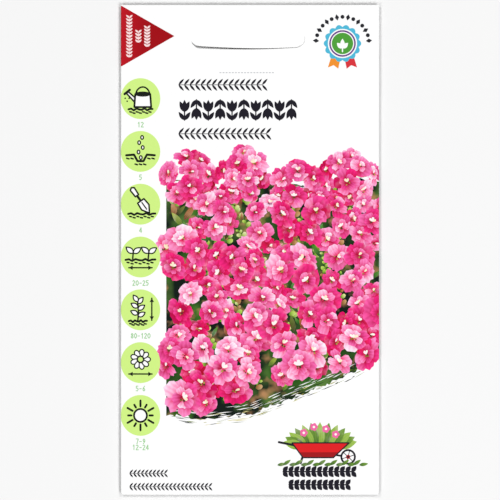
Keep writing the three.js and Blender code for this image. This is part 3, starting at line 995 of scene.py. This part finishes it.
LATTICE = 2.1  # spacing of the points that let the paper bend
PICTURE_LATTICE = 0.9  # and of those that carry the picture's shadows
PICTURE_HEIGHT = 12  # of the flower heads above the backdrop
SIDE_CUT_LEFT = 0.015  # the cut is all but closed up the left side of the tongue
SIDE_CUT_RIGHT = 0.045
KERF_LEFT = 0.34  # the cut under the tongue gapes at its left end
KERF_RIGHT = 0.07
HALF_CUT = [-1, -0.99, -0.97, -0.95, -0.92, -0.88, -0.8, -0.6, -0.4, -0.2, 0]  # shares of its half width
CUT_TOLERANCE = 1e-5
OFF_THE_SHEET = 0.008  # a triangle whose middle is further off than this lies in a slit or beside the blank


def fold_lines(start):
    return [start + FOLD_SPAN * i / FOLD_STEPS for i in range(FOLD_STEPS + 1)]


def evenly(start, end, step):
    return np.linspace(start, end, max(2, round(abs(end - start) / step) + 1))


LEFT_FOLD = fold_lines(-FOLD_X - FOLD_SPAN)
RIGHT_FOLD = fold_lines(FOLD_X)
LOW_FOLD = fold_lines(FLAP_FOLD)


def blank_panels():
    """The blank as rectangles that meet at every line where it bends."""
    lines = [BLANK_LEFT, *LEFT_FOLD, *RIGHT_FOLD, PRINT_RIGHT, BLANK_RIGHT]
    panels = [rectangle(a, b, FOLD_Y if a == -FOLD_X else BLANK_LOW, TOP) for a, b in zip(lines, lines[1:])]
    panels += [rectangle(-FOLD_X, FOLD_X, a, b) for a, b in zip(LOW_FOLD, LOW_FOLD[1:])]
    inner = FOLD_X - BOTTOM_FLAP_LEAN
    panels.append([(-inner, FLAP_END), (inner, FLAP_END), (FOLD_X, FLAP_FOLD), (-FOLD_X, FLAP_FOLD)])
    return panels


def lattice():
    """Points all over the blank, so that it can bend."""
    seam = evenly(BLANK_LEFT, LEFT_FOLD[0], LATTICE)
    front = evenly(-FOLD_X, FOLD_X, LATTICE)
    back = evenly(PRINT_RIGHT, BLANK_RIGHT, LATTICE)
    across = [*seam, *LEFT_FOLD[1:-1], *front, *RIGHT_FOLD[1:], *back]
    points = [(u, v) for u in across for v in evenly(BLANK_LOW, TOP, LATTICE)]
    points += [(u, FOLD_Y) for u in front]
    points += [(u, v) for u in front for v in LOW_FOLD[:-1]]
    for v in evenly(FLAP_END, FLAP_FOLD, LATTICE)[:-1]:
        lean = BOTTOM_FLAP_LEAN * (FLAP_FOLD - v) / BOTTOM_FLAP_HEIGHT
        points += [(u * (1 - lean / FOLD_X), v) for u in front]
    return points


def picture_lattice():
    """Finer points under the flower picture, so that its shadows are smooth."""
    us, top = evenly(PICTURE_LEFT, FOLD_X, PICTURE_LATTICE), BACKDROP_TOP + PICTURE_HEIGHT
    return [(u, v) for u in us for v in evenly(picture_foot(u), top, PICTURE_LATTICE)]


def slit_outline(on_back):
    """The narrow cut round three sides of the tongue."""
    xs = SLIT_CENTRE + SLIT_HALF_WIDTH * np.array(HALF_CUT)
    xs = np.concatenate([xs, 2 * SLIT_CENTRE - xs[-2::-1]])
    tongue = [(x, float(tongue_edge(x))) for x in xs]
    kerf = KERF_LEFT + (KERF_RIGHT - KERF_LEFT) * along_tongue(xs)
    hole = [(x, float(low)) for x, low in zip(xs, slit_edge(xs) - kerf)]
    left, right = xs[0], xs[-1]
    outer_left, outer_right = left - SIDE_CUT_LEFT, right + SIDE_CUT_RIGHT
    corner = SLIT_LOW + SLIT_CORNER_RISE
    hole[0], hole[-1] = (outer_left, corner), (outer_right, corner)
    outline = [(left, TONGUE_HINGE), *tongue, (right, TONGUE_HINGE), (outer_right, TONGUE_HINGE)]
    outline += [*hole[::-1], (outer_left, TONGUE_HINGE)]
    if on_back:
        outline = [(BACK_U - x, y) for x, y in outline]
    return counterclockwise(outline)


def split_up(corners, edges, loops, output):
    """Triangles between corners, edges and closed loops. Gives points, triangles and each one's loops."""
    corners = [Vector(point) for point in corners]
    points, _, faces, _, _, covers = delaunay_2d_cdt(corners, edges, loops, output, CUT_TOLERANCE)
    return np.array([tuple(point) for point in points]), np.array(faces), covers


def cut_along(outlines):
    """Cuts the blank along all outlines. Gives points, triangles, and each one's panel and top shape."""
    panels = blank_panels()
    slits = [slit_outline(False), slit_outline(True)]
    shapes = panels + slits + outlines
    loops, first = [], 0
    for shape in shapes:
        loops.append(list(range(first, first + len(shape))))
        first += len(shape)
    points, faces, covers = split_up([p for shape in shapes for p in shape] + lattice(), [], loops, 1)
    drawn = len(panels) + len(slits)
    kept, panel, top = [], [], []
    for face, cover in enumerate(covers):
        on_panel = [c for c in cover if c < len(panels)]
        if on_panel and not any(len(panels) <= c < drawn for c in cover):
            kept.append(face)
            panel.append(on_panel[0])
            top.append(max(max(cover) - drawn + 1, 0))
    return points, faces[kept], np.array(panel), np.array(top)


def edges_of(faces):
    return np.concatenate([faces[:, [0, 1]], faces[:, [1, 2]], faces[:, [2, 0]]])


def borders(faces, label):
    """Edges of a triangle mesh where it ends, or where two triangles' labels differ."""
    edges = np.sort(edges_of(faces), axis=1)
    order = np.lexsort((edges[:, 1], edges[:, 0]))
    edges, label = edges[order], np.tile(label, 3)[order]
    alike = (edges[:-1] == edges[1:]).all(axis=1) & (label[:-1] == label[1:])
    inner = np.append(alike, False) | np.append(False, alike)
    return np.unique(edges[~inner], axis=0)


def triangles(outlines):
    """The sheet in triangles along the lines that show. Gives points, triangles and their top shapes."""
    points, faces, panel, top = cut_along(outlines)
    used, edges = np.unique(borders(faces, top * len(outlines) + panel), return_inverse=True)
    corners = points[used].tolist() + lattice()
    if outlines:
        corners += picture_lattice()
    again, cut, _ = split_up(corners, edges.reshape(-1, 2).tolist(), [], 0)
    tree = BVHTree.FromPolygons([(u, v, 0) for u, v in points], faces.tolist())
    found = [tree.find_nearest((u, v, 0)) for u, v in again[cut].mean(axis=1)]
    on_sheet = np.array([distance < OFF_THE_SHEET for _, _, _, distance in found])
    under = np.array([index for _, _, index, _ in found])[on_sheet]
    used, cut = np.unique(cut[on_sheet], return_inverse=True)
    return again[used], cut.reshape(-1, 3), top[under]


# ---- the ink of every corner


def place_on_axis(corners, axis):
    """How far along a shape's axis the corners lie, and how far across it."""
    x, y = corners[..., 0] - axis[..., 0], corners[..., 1] - axis[..., 1]
    along_x, along_y, half_width = axis[..., 2], axis[..., 3], axis[..., 4]
    length = along_x**2 + along_y**2
    return (x * along_x + y * along_y) / length, (x * along_y - y * along_x) / np.sqrt(length) / half_width


def shaded(colour, shade):
    """Ink under a shade. Its strongest colour darkens least, as in a petal that light shines through."""
    strength = colour / np.maximum(colour.max(axis=-1, keepdims=True), 1e-6)
    return np.clip(colour * shade[..., None] ** (1.1 - 0.96 * strength), 0, 1)


def darken(shade, shadows, corners, top):
    """Lays each shadow over the shapes that were there before it."""
    middle = corners[..., 0].mean(axis=1)
    order = np.argsort(middle)
    middle = middle[order]
    for above, axis, strength in shadows:
        reach = max(hypot(axis[2], axis[3]), axis[4]) + LATTICE
        first, last = np.searchsorted(middle, (axis[0] - reach, axis[0] + reach))
        near = order[first:last]
        near = near[(top[near] > 0) & (top[near] <= above)]
        distance = np.hypot(*place_on_axis(corners[near], np.array(axis)))
        shade[near] *= 1 - strength * smooth(1 - distance, 0, 0.5)


def ink_of_corners(sheet, points, faces, top):
    """Foot and tip ink of each corner of each triangle, and its place on the shape."""
    corners = points[faces]
    inks = np.array([(PAPER_WHITE, PAPER_WHITE), *sheet.inks])[top][:, None]
    axes = np.array([(0, 0, 1, 0, 1), *sheet.axes])[top][:, None]
    grain, side_light = np.array([(FLAT, 0), *sheet.looks])[top].T
    along, across = place_on_axis(corners, axes)
    flat_share = np.clip(along, 0, 1)[..., None] * (grain == FLAT)[:, None, None]
    foot = inks[..., 0, :] + (inks[..., 1, :] - inks[..., 0, :]) * flat_share
    shade = 1 + side_light[:, None] * across
    darken(shade, sheet.shadows, corners, top)
    grain = np.broadcast_to(grain[:, None, None] / 2, (*shade.shape, 1))
    foot, tip = (np.concatenate([shaded(c, shade), grain], axis=-1) for c in (foot, inks[..., 1, :]))
    return foot, tip, np.stack([along, across], axis=-1)


# ---- the sheet as a solid

ATLAS = 172.0  # the unfolded blank fits a square of this side
ATLAS_MARGIN = (0.4, 0.32)
INSIDE_SCALE = 0.08  # the plain face lies small in a corner of that square
INSIDE_PLACE = (BLANK_RIGHT - 66, -83.5)


def unit(vectors):
    return vectors / np.maximum(np.linalg.norm(vectors, axis=1, keepdims=True), 1e-12)


def face_normals(points, faces):
    """Normals of the triangles, as long as their doubled areas."""
    a, b, c = (points[faces[:, i]] for i in range(3))
    return np.cross(b - a, c - a)


def smooth_normals(points, faces):
    """Normals of a smooth face at each corner, weighted by the area of the triangles."""
    total = np.zeros((len(points), 3))
    for i in range(3):
        np.add.at(total, faces[:, i], face_normals(points, faces))
    return unit(total)[faces].reshape(-1, 3)


def cut_faces(flat, faces, plain_flat):
    """Triangles between the free edges of the printed face and those of the plain face."""
    twin = {(round(u, 3), round(v, 3)): len(flat) + i for i, (u, v) in enumerate(plain_flat)}
    edges = edges_of(faces).tolist()
    known = {(a, b) for a, b in edges}
    walls = []
    for a, b in edges:
        if (b, a) not in known:
            below_a, below_b = (twin[round(flat[i][0], 3), round(flat[i][1], 3)] for i in (a, b))
            walls += [(b, a, below_a), (b, below_a, below_b)]
    return np.array(walls)


def sheet_atlas(flat, plain_flat):
    """Places of all points on the texture that the materials can be baked to."""
    points = np.concatenate([flat, INSIDE_PLACE + plain_flat * INSIDE_SCALE])
    return (points - (BLANK_LEFT, FLAP_END) + ATLAS_MARGIN) / ATLAS


def for_all_corners(values, rest, count):
    """Values of the printed face's corners, then the same rest for the others."""
    values = values.reshape(-1, len(rest))
    return np.concatenate([values, np.tile(rest, (count - len(values), 1))]).ravel().astype(np.float32)


def build_sheet(sheet):
    """The folded sheet as one closed solid: printed face, plain face and cut edges."""
    flat, faces, top = triangles(sheet.outlines)
    plain_flat, plain_faces, _ = triangles([])
    plain_faces = plain_faces[:, ::-1]
    outside, inside = folded(*flat.T, 1), folded(*plain_flat.T, 0)
    walls = cut_faces(flat, faces, plain_flat)
    points = np.concatenate([outside, inside])
    every_face = np.concatenate([faces, plain_faces + len(flat), walls])
    mesh = bpy.data.meshes.new("packet_sheet")
    mesh.from_pydata((points * MM).tolist(), [], every_face.tolist())

    normals = [smooth_normals(outside, faces), smooth_normals(inside, plain_faces)]
    normals.append(np.repeat(unit(face_normals(points, walls)), 3, axis=0))
    mesh.normals_split_custom_set(np.concatenate(normals).tolist())

    corners = every_face.size
    foot, tip, place = ink_of_corners(sheet, flat, faces, top)
    for name, values in (("InkFoot", foot), ("InkTip", tip)):
        attribute = mesh.color_attributes.new(name, "FLOAT_COLOR", "CORNER")
        attribute.data.foreach_set("color", for_all_corners(values, (*PAPER_WHITE, 0), corners))
    for name, values in (("OFBake", sheet_atlas(flat, plain_flat)[every_face]), ("ShapePlace", place)):
        layer = mesh.uv_layers.new(name=name)
        layer.data.foreach_set("uv", for_all_corners(values, (0, 0), corners))
    counts = [len(faces), len(plain_faces) + len(walls)]
    mesh.polygons.foreach_set("material_index", np.repeat([0, 1], counts))
    mesh.update()
    return mesh


# ---- materials


class Recipe:
    """A material and its shader. Each method that makes a node gives the node's output."""

    def __init__(self, name):
        self.material = bpy.data.materials.new(name)
        self.material.use_nodes = True
        self.shader = self.material.node_tree.nodes["Principled BSDF"]
        self.place = self.node("TexCoord").outputs["Object"]

    def node(self, kind, inputs=(), **settings):
        """A new node with its inputs fed by name or number."""
        made = self.material.node_tree.nodes.new("ShaderNode" + kind)
        for key, value in settings.items():
            setattr(made, key, value)
        self.feed(made, inputs)
        return made

    def feed(self, node, inputs):
        """Gives a node's sockets numbers, colours or other nodes' outputs."""
        for key, value in dict(inputs).items():
            if isinstance(value, bpy.types.NodeSocket):
                self.material.node_tree.links.new(value, node.inputs[key])
            else:
                node.inputs[key].default_value = (*value, 1) if isinstance(value, tuple) else value

    def maths(self, operation, *values, clamp=False):
        return self.node("Math", enumerate(values), operation=operation, use_clamp=clamp).outputs[0]

    def times(self, a, b, clamp=False):
        return self.maths("MULTIPLY", a, b, clamp=clamp)

    def plus(self, a, b, clamp=False):
        return self.maths("ADD", a, b, clamp=clamp)

    def line(self, value, gain, offset):
        return self.maths("MULTIPLY_ADD", value, gain, offset)

    def above(self, value, level, gain):
        """How far a value is above a level, times the gain, between 0 and 1."""
        return self.times(self.maths("SUBTRACT", value, level), gain, clamp=True)

    def mixed(self, share, a, b):
        return self.node("Mix", {0: share, 6: a, 7: b}, data_type="RGBA", clamp_factor=True).outputs[2]

    def texture(self, kind, scale, inputs=(), **settings):
        """A pattern that is fixed to the object, with the scale in repeats a metre."""
        return self.node(kind, {"Vector": self.place, "Scale": scale, **dict(inputs)}, **settings)

    def noise(self, scale, detail=2.0, roughness=0.5):
        inputs = {"Detail": detail, "Roughness": roughness}
        return self.texture("TexNoise", scale, inputs).outputs["Fac"]

    def finished(self, colour, roughness, height=None, strength=0.0, depth=0.0):
        """The material with its colour, its roughness and a bump that is depth millimetres deep."""
        self.feed(self.shader, {"Base Color": colour, "Roughness": roughness})
        if height is not None:
            bump = self.node("Bump", {"Height": height, "Strength": strength, "Distance": depth * MM})
            self.feed(self.shader, {"Normal": bump.outputs[0]})
        return self.material


def petal_blend(paper, along, across, blotch):
    """How far a petal's ink has gone from foot to tip, with soft veins."""
    sway = paper.times(paper.noise(700), 7)
    veins = paper.maths("SINE", paper.plus(paper.times(across, 13), sway))
    blend = paper.plus(along, paper.times(blotch, 0.7))
    blend = paper.maths("SUBTRACT", blend, 0.42, clamp=True)
    return paper.plus(blend, paper.times(veins, 0.12), clamp=True)


def petal_glow(paper, along, across):
    """Pale patches towards a petal's tip, strongest at its rim."""
    from_middle = paper.maths("POWER", paper.line(along, 2, -1), 2)
    broad = paper.line(along, PETAL_SPREAD, PETAL_NECK)
    from_axis = paper.maths("POWER", paper.maths("DIVIDE", across, broad), 2)
    rim = paper.above(paper.plus(from_middle, from_axis), 0.62, 2.2)
    glow = paper.times(paper.above(paper.noise(330), 0.53, 4), paper.times(along, 0.8))
    return paper.times(glow, paper.line(rim, 0.6, 0.3))


def printed_paper():
    """Coated paper with offset print. Petals get veins and a glow, foliage is out of focus."""
    paper = Recipe("printed_paper")
    foot = paper.node("Attribute", attribute_name="InkFoot").outputs
    tip = paper.node("Attribute", attribute_name="InkTip").outputs
    on_shape = paper.node("UVMap", uv_map="ShapePlace").outputs[0]
    along, across, _ = paper.node("SeparateXYZ", {0: on_shape}).outputs
    grain = paper.times(foot["Alpha"], 2)
    is_petal = paper.maths("COMPARE", grain, PETAL, 0.3)
    is_foliage = paper.maths("GREATER_THAN", grain, (PETAL + FOLIAGE) / 2)
    fine, blotch = paper.noise(1400, 3), paper.noise(420, 3)

    petal_share = paper.times(petal_blend(paper, along, across, blotch), is_petal)
    foliage_share = paper.times(paper.above(paper.noise(150, 1.5), 0.42, 3.2), is_foliage)
    share = paper.plus(petal_share, foliage_share, clamp=True)
    colour = paper.mixed(share, foot["Color"], tip["Color"])
    haze = paper.times(paper.above(paper.noise(230), 0.53, 5), paper.times(is_foliage, 0.8))
    colour = paper.mixed(haze, colour, FOLIAGE_HAZE)
    colour = paper.mixed(paper.times(petal_glow(paper, along, across), is_petal), colour, PETAL_GLOW)

    speck = paper.line(fine, 0.05, 0.975)
    grainy = paper.node("VectorMath", {0: colour, "Scale": speck}, operation="SCALE")
    paper.feed(paper.shader, {"Specular IOR Level": 0.1})
    return paper.finished(grainy.outputs[0], paper.line(blotch, 0.12, 0.38), fine, 0.12, 0.03)


def plain_paper():
    """The uncoated inside of the sheet and its cut edges, with fibres."""
    paper = Recipe("plain_paper")
    fibres = paper.noise(1800, 4, 0.7)
    share = paper.plus(fibres, paper.times(paper.noise(120), 0.6))
    share = paper.maths("SUBTRACT", share, 0.5, clamp=True)
    return paper.finished(paper.mixed(share, ink("eceae4"), ink("f8f7f3")), 0.85, fibres, 0.4, 0.04)


def dried_glue():
    glue = Recipe("dried_glue")
    cloud = glue.noise(300, 4, 0.6)
    return glue.finished(glue.mixed(cloud, ink("e3d9b4"), ink("f4eed8")), glue.line(cloud, 0.3, 0.2))


def seed_coat():
    """Dark brown wrinkled skin, painted darkest down in the grooves between its wrinkles as painted shade.
    """
    seed = Recipe("seed_coat")
    wrinkles = seed.texture("TexVoronoi", 3200, feature="DISTANCE_TO_EDGE").outputs["Distance"]
    # painted shade: the skin is darkest along the grooves that the bump below presses in
    groove_shaded_skin = seed.mixed(seed.times(wrinkles, 2.2, clamp=True), ink("1c130d"), ink("4a3526"))
    colour = seed.mixed(seed.times(seed.noise(900, 3), 0.5), groove_shaded_skin, ink("6b503a"))
    return seed.finished(colour, 0.7, wrinkles, 0.8, 0.1)


# ---- studio, in metres

SOFT_BOX_SIZE = 0.95
LAMP_REACH = 1.36
LAMP_HEIGHT = 1.66
LAMP_POWERS = {-45: 28.4, 45: 16.1, 135: 16.1, 225: 16.1}  # by azimuth
DOME_STRENGTH = 0.05
FLOOR_REACH = 1.5
FLOOR_DROP = 0.02 * MM  # below the flat of the back, so that the two don't flicker
VIEW_SPAN = 154.1 * MM  # what the picture's side takes in
LENS = 300  # the camera's own millimetres
SENSOR = 36


def added(name, data):
    """A new object in the scene."""
    made = bpy.data.objects.new(name, data)
    bpy.context.scene.collection.objects.link(made)
    return made


def soft_box(azimuth, power):
    """A large round lamp that faces the packet."""
    lamp = bpy.data.lights.new("soft_box", "AREA")
    lamp.shape = "DISK"
    lamp.size = SOFT_BOX_SIZE
    lamp.energy = power
    box = added("soft_box", lamp)
    box.location = (*polar(0, 0, LAMP_REACH, azimuth), LAMP_HEIGHT)
    box.rotation_euler = (-box.location).to_track_quat("-Z", "Y").to_euler()


def pale_floor():
    mesh = bpy.data.meshes.new("floor")
    corners = rectangle(-FLOOR_REACH, FLOOR_REACH, -FLOOR_REACH, FLOOR_REACH)
    mesh.from_pydata([(x, y, -FLOOR_DROP) for x, y in corners], [], [(0, 1, 2, 3)])
    mesh.materials.append(Recipe("floor").finished(ink("f4f4f4"), 0.9))
    added("floor", mesh)


def studio():
    """A pale floor and soft light from four sides, most of it from the lower right."""
    scene = bpy.context.scene
    scene.view_settings.view_transform = "Standard"
    scene.world = bpy.data.worlds.new("studio")
    scene.world.use_nodes = True
    dome = scene.world.node_tree.nodes["Background"]
    dome.inputs["Color"].default_value = (1, 1, 1, 1)
    dome.inputs["Strength"].default_value = DOME_STRENGTH
    pale_floor()
    for azimuth, power in LAMP_POWERS.items():
        soft_box(radians(azimuth), power)


def camera():
    """Straight above the packet, far enough off for a flat, scan-like view."""
    data = bpy.data.cameras.new("camera")
    data.lens = LENS
    data.sensor_width = SENSOR
    data.clip_start = 0.01
    eye = added("camera", data)
    eye.location = (0, 0, VIEW_SPAN * LENS / SENSOR + FRONT_LEVEL * MM)
    bpy.context.scene.camera = eye


# ---- the scene

DRAWINGS = [
    flower_bed, garden_signs, title_band, corner_tag, tear_mark,
    award_badge, garden_barrow, lower_rows, back_print,
]


def whole_print():
    """Everything printed on the sheet, each drawing from its own origin."""
    sheet = Print()
    for drawing in DRAWINGS:
        sheet.origin = (0, 0)
        drawing(sheet)
    return sheet


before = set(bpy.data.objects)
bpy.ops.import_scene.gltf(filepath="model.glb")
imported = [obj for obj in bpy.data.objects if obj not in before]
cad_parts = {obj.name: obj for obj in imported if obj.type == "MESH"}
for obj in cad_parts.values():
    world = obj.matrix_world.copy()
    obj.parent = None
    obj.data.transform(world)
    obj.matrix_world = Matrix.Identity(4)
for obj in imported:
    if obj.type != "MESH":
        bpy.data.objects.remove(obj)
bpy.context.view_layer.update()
camera()
studio()

packet = added("packet_paper", build_sheet(whole_print()))
packet.data.materials.append(printed_paper())
packet.data.materials.append(plain_paper())
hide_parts("packet_sheet")
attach(packet, "root")

glue, seed = dried_glue(), seed_coat()
for name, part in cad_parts.items():
    if name.startswith("seed_") or name.endswith("_glue"):
        part.data.materials.clear()
        part.data.materials.append(seed if name.startswith("seed_") else glue)
